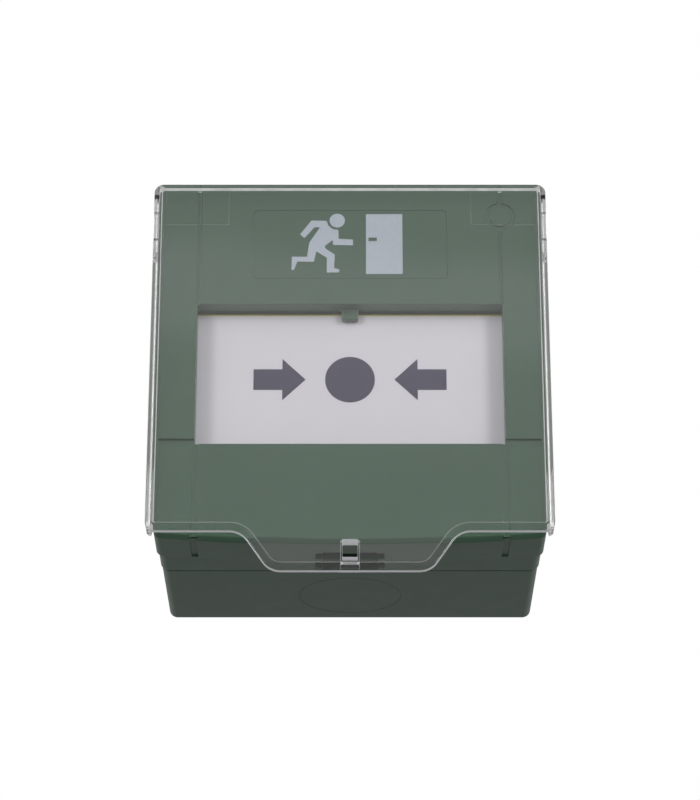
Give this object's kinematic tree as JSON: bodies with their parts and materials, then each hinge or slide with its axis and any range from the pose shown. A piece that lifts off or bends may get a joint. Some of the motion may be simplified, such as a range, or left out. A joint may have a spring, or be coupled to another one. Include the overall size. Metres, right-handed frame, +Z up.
{
  "type": "manual call point",
  "caption": "Green wall-mounted manual call point with a clear hinged flap, a press-in white element and a key-reset switch mechanism.",
  "frame": {"origin": "centre of the back face of the wall box, on the wall", "axes": "+Z up, the front faces -Y, +X to the right as seen from the front"},
  "size_m": [0.0932, 0.0615, 0.0999],
  "materials": {
    "green_plastic": "fine spark texture, green moulded ABS",
    "white_plastic": "satin white, with printed dark grey marks",
    "yellow_plastic": "satin yellow",
    "grey_plastic": "matt grey",
    "black_plastic": "matt black",
    "red_plastic": "satin red",
    "board_resin": "green solder resist over glass fibre",
    "label_film": "green film with pale grey print",
    "foam_rubber": "matt closed-cell foam",
    "plated_steel": "zinc plated",
    "brass": "machined brass",
    "clear_plastic": "clear polycarbonate, polished"
  },
  "bodies": {
    "root": {"back_box": "green_plastic", "sealing_gasket": "foam_rubber", "chassis": "green_plastic", "circuit_board": "board_resin", "terminal_block": "grey_plastic", "earth_terminal": "brass", "earth_screw": "plated_steel", "indicator_strip": "yellow_plastic", "reset_spring": "plated_steel", "chassis_screw_left": "plated_steel", "board_screw_left": "plated_steel", "microswitch_left": "black_plastic", "chassis_screw_right": "plated_steel", "board_screw_right": "plated_steel", "microswitch_right": "black_plastic", "terminal_screw_1": "plated_steel", "terminal_screw_2": "plated_steel", "terminal_screw_3": "plated_steel", "terminal_screw_4": "plated_steel", "terminal_screw_5": "plated_steel", "terminal_screw_6": "plated_steel"},
    "front_cap": {"front_cap": "green_plastic", "sign_label": "label_film"},
    "flap": {"clear_flap": "clear_plastic"},
    "element": {"element_plate": "white_plastic", "element_carrier": "grey_plastic"},
    "reset_slider": {"reset_slider": "black_plastic"},
    "plunger_left": {"switch_plunger_left": "red_plastic"},
    "plunger_right": {"switch_plunger_right": "red_plastic"}
  },
  "joints": [
    {"name": "cap_removal", "type": "slide", "parent": "root", "child": "front_cap", "axis": [0, -1, 0], "range_m": [0, 0.03]},
    {"name": "flap_hinge", "type": "hinge", "parent": "front_cap", "child": "flap", "pos_m": [0, -0.0538, 0.0408], "axis": [-1, 0, 0], "range_deg": [0, 105]},
    {"name": "element_travel", "type": "slide", "parent": "root", "child": "element", "axis": [0, 0.5547, -0.8321], "range_m": [0, 0.00361]},
    {"name": "reset_travel", "type": "slide", "parent": "root", "child": "reset_slider", "axis": [0, 0, 1], "range_m": [0, 0.003], "stiffness_N_per_m": 300, "springref_m": -0.002, "deforming": ["reset_spring"]},
    {"name": "plunger_left_travel", "type": "slide", "parent": "root", "child": "plunger_left", "axis": [0, 1, 0], "range_m": [0, 0.00115]},
    {"name": "plunger_right_travel", "type": "slide", "parent": "root", "child": "plunger_right", "axis": [0, 1, 0], "range_m": [0, 0.00115]}
  ],
  "couplings": [
    {"joint": "plunger_left_travel", "follows": "element_travel", "ratio": 0.30509},
    {"joint": "plunger_right_travel", "follows": "element_travel", "ratio": 0.30509}
  ]
}
